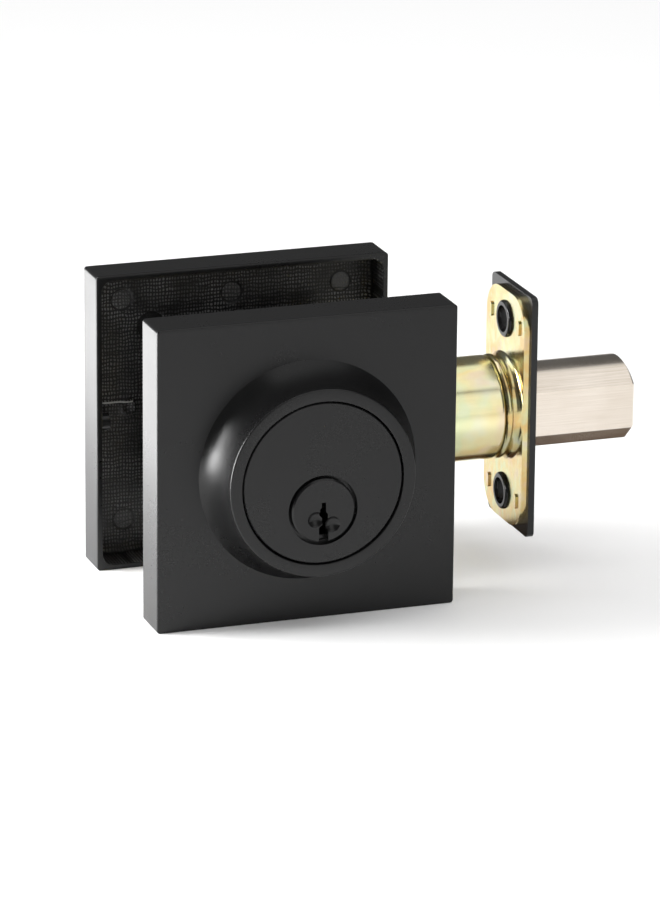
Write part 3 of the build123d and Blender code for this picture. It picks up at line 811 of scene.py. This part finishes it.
# %% [markdown]
# ## Finishes on the pieces the design already shapes well
# Pins, rails, rivets and screws need no new shape. Each gets the finish of its own slot, and four
# pieces whose real finish differs from their slot's get that instead.

# %% Finish every remaining node
FINISH = {
    "satin_black": black_rose,
    "black_cylinder": black_cylinder,
    "yellow_zinc": zinc_frame,
    "satin_nickel": nickel,
    "pin_brass": brass,
    "spring_steel": spring_steel,
    "plated_steel": steel,
    "hard_steel": hard_steel,
    "nylon": nylon,
}
SPECIAL = {
    "latch_tube": zinc_tube,
    "backing_plate": zinc_plate,
    "faceplate": black_plate,
    "cover_set_screw": black_plate,
}
for node in frame["record"]["subparts"]:
    shown = frame["nodes"][node["node"]]
    shown.data.materials.clear()
    shown.data.materials.append(SPECIAL.get(node["node"], FINISH[node["material_slot"]]))
print(len(frame["nodes"]), "nodes finished")

# %% [markdown]
# ## Floor
# Polished black shows only what it mirrors, and seen from a little above, every upright face mirrors
# the floor. So the floor is part of the light: pale, matt and far larger than the lock, so that no face
# sees its end.

# %% Pale floor
FLOOR_Z = cad_low.z
FLOOR_REACH = 6.0


def stage_sheet(name, across, along, level, material):
    """A level rectangle; across and along are its ends in x and y."""
    (left, right), (near, far) = across, along
    corners = [(left, near, level), (right, near, level), (right, far, level), (left, far, level)]
    sheet = finish_mesh(name, corners, [(0, 1, 2, 3)], material)
    return sheet


pale = Finish("pale_floor")
pale_tone = pale.blend(pale.noise(3.0), grey(0.90), grey(0.92))
pale_material = pale.done(Base_Color=pale_tone, Roughness=0.8, Specular_IOR_Level=0.1)
FLOOR_ENDS = (-FLOOR_REACH, FLOOR_REACH)
stage_sheet("floor", FLOOR_ENDS, FLOOR_ENDS, FLOOR_Z, pale_material)
print("floor at z, mm:", round(FLOOR_Z / MM, 1))

# %% [markdown]
# ## Lights that show only where they should
# A surface that faces neither left nor right mirrors only the right half of the room, so whatever
# stands at the left lights the floor and throws the shadow without showing in the tube, the bolt or
# the flat tops. The key stands behind at the left. Two plain panels, one overhead and one in front,
# reach to the right and are what the round metal mirrors. The left walls mirror the floor behind them,
# so a bright card lies there. Two small cards stand at the left, behind the plane of the fronts: the
# fronts can't mirror them, and the collar's cove can.

# %% Lights
CARD_Z = FLOOR_Z + 2 * MM


def soft_light(name, place, aim, size, radiance):
    """A rectangular light of even radiance, facing its aim and hidden from the camera."""
    lamp = bpy.data.lights.new(name, "AREA")
    lamp.shape = "RECTANGLE"
    lamp.size, lamp.size_y = size
    lamp.energy = radiance * pi * size[0] * size[1]
    holder = bpy.data.objects.new(name, lamp)
    bpy.context.scene.collection.objects.link(holder)
    holder.location = place
    holder.rotation_euler = (Vector(aim) - Vector(place)).to_track_quat("-Z", "Y").to_euler()
    holder.visible_camera = False
    print(name, "gives", round(lamp.energy, 3), "W")


soft_light("key", (-0.75, 0.75, 1.15), (0, 0.1, 0), (0.9, 0.9), 1.8)
soft_light("top_panel", (0.5, 0.0, 1.4), (0.5, 0.0, 0), (1.7, 1.9), 0.95)
soft_light("front_panel", (0.6, -1.6, 0.95), (0.6, 0, 0.95), (1.5, 1.9), 0.95)
soft_light("card_behind_left", (-0.19, 0.22, CARD_Z), (-0.19, 0.22, 1), (0.24, 0.40), 3.3)
soft_light("card_left", (-0.30, 0.06, 0.0), (0, -0.02, 0), (0.15, 0.07), 40.0)
soft_light("card_upper_left", (-0.36, 0.10, 0.10), (0, -0.03, 0), (0.17, 0.18), 30.0)

# %% [markdown]
# ## A flag under the latch
# On a white floor the undersides of bright round metal mirror white and lose their edge. A studio lays
# a dark flag where only the metal can see it. This one lies under the latch and shows in mirrored rays
# alone, so the floor stays white and the bolt's lower facet turns brown.

# %% Flag
FLAG_X = (0.0, 135 * MM)
FLAG_Y = (1 * MM, 21 * MM)
FLAG_Z = FLOOR_Z + 0.8 * MM

brown = Finish("flag_brown")
brown_tone = brown.blend(brown.noise(40.0), rgb(0.085, 0.050, 0.026), rgb(0.10, 0.062, 0.034))
brown_material = brown.done(Base_Color=brown_tone, Roughness=0.9, Specular_IOR_Level=0.0)
flag = stage_sheet("flag", FLAG_X, FLAG_Y, FLAG_Z, brown_material)
flag.visible_camera = False
flag.visible_diffuse = False
flag.visible_shadow = False
print("flag", [round((high - low) / MM) for low, high in (FLAG_X, FLAG_Y)], "mm")

# %% [markdown]
# ## Room
# The room itself is a plain background. Rays that light the floor see it bright, which keeps the
# shadow faint. Mirrored rays see it dim, which keeps the flat tops black. The Light Path node tells
# the two apart.

# %% Room
DIM = 0.12
BRIGHT = 0.60

world = bpy.data.worlds.new("studio")
world.use_nodes = True
bpy.context.scene.world = world
room = world.node_tree
seen = room.nodes.new("ShaderNodeLightPath")
strength = room.nodes.new("ShaderNodeMapRange")
strength.inputs["To Min"].default_value = BRIGHT
strength.inputs["To Max"].default_value = DIM
room.links.new(seen.outputs["Is Glossy Ray"], strength.inputs["Value"])
room.nodes["Background"].inputs["Color"].default_value = grey(1)
room.links.new(strength.outputs["Result"], room.nodes["Background"].inputs["Strength"])
print("room:", BRIGHT, "for lighting rays,", DIM, "for mirrored rays")

# %% [markdown]
# ## Camera
# A long lens from a little above and to the left keeps the squares nearly square, while the collar and
# the gap between the two roses still show their depth. Two angles and a distance round a target say
# that more plainly than a place and a rotation would.

# %% Camera
AZIMUTH = radians(-19.44)
ELEVATION = radians(17.60)
ROLL = radians(0.52)
DISTANCE = 1.2
TARGET = Vector((15.05 * MM, 0.0, -6.86 * MM))
LENS = 210.792
SENSOR = 36.0

towards_eye = Vector((
    sin(AZIMUTH) * cos(ELEVATION),
    -cos(AZIMUTH) * cos(ELEVATION),
    sin(ELEVATION),
))
eye = bpy.data.cameras.new("camera")
eye.sensor_width = SENSOR
eye.lens = LENS
camera = bpy.data.objects.new("camera", eye)
bpy.context.scene.collection.objects.link(camera)
camera.location = TARGET + towards_eye * DISTANCE
camera.rotation_euler = (-towards_eye).to_track_quat("-Z", "Y").to_euler()
camera.rotation_euler.rotate_axis("Z", ROLL)
bpy.context.scene.camera = camera
bpy.context.scene.view_settings.view_transform = "Standard"
print("camera at, m:", [round(v, 3) for v in camera.location])

# %% [markdown]
# ## The end
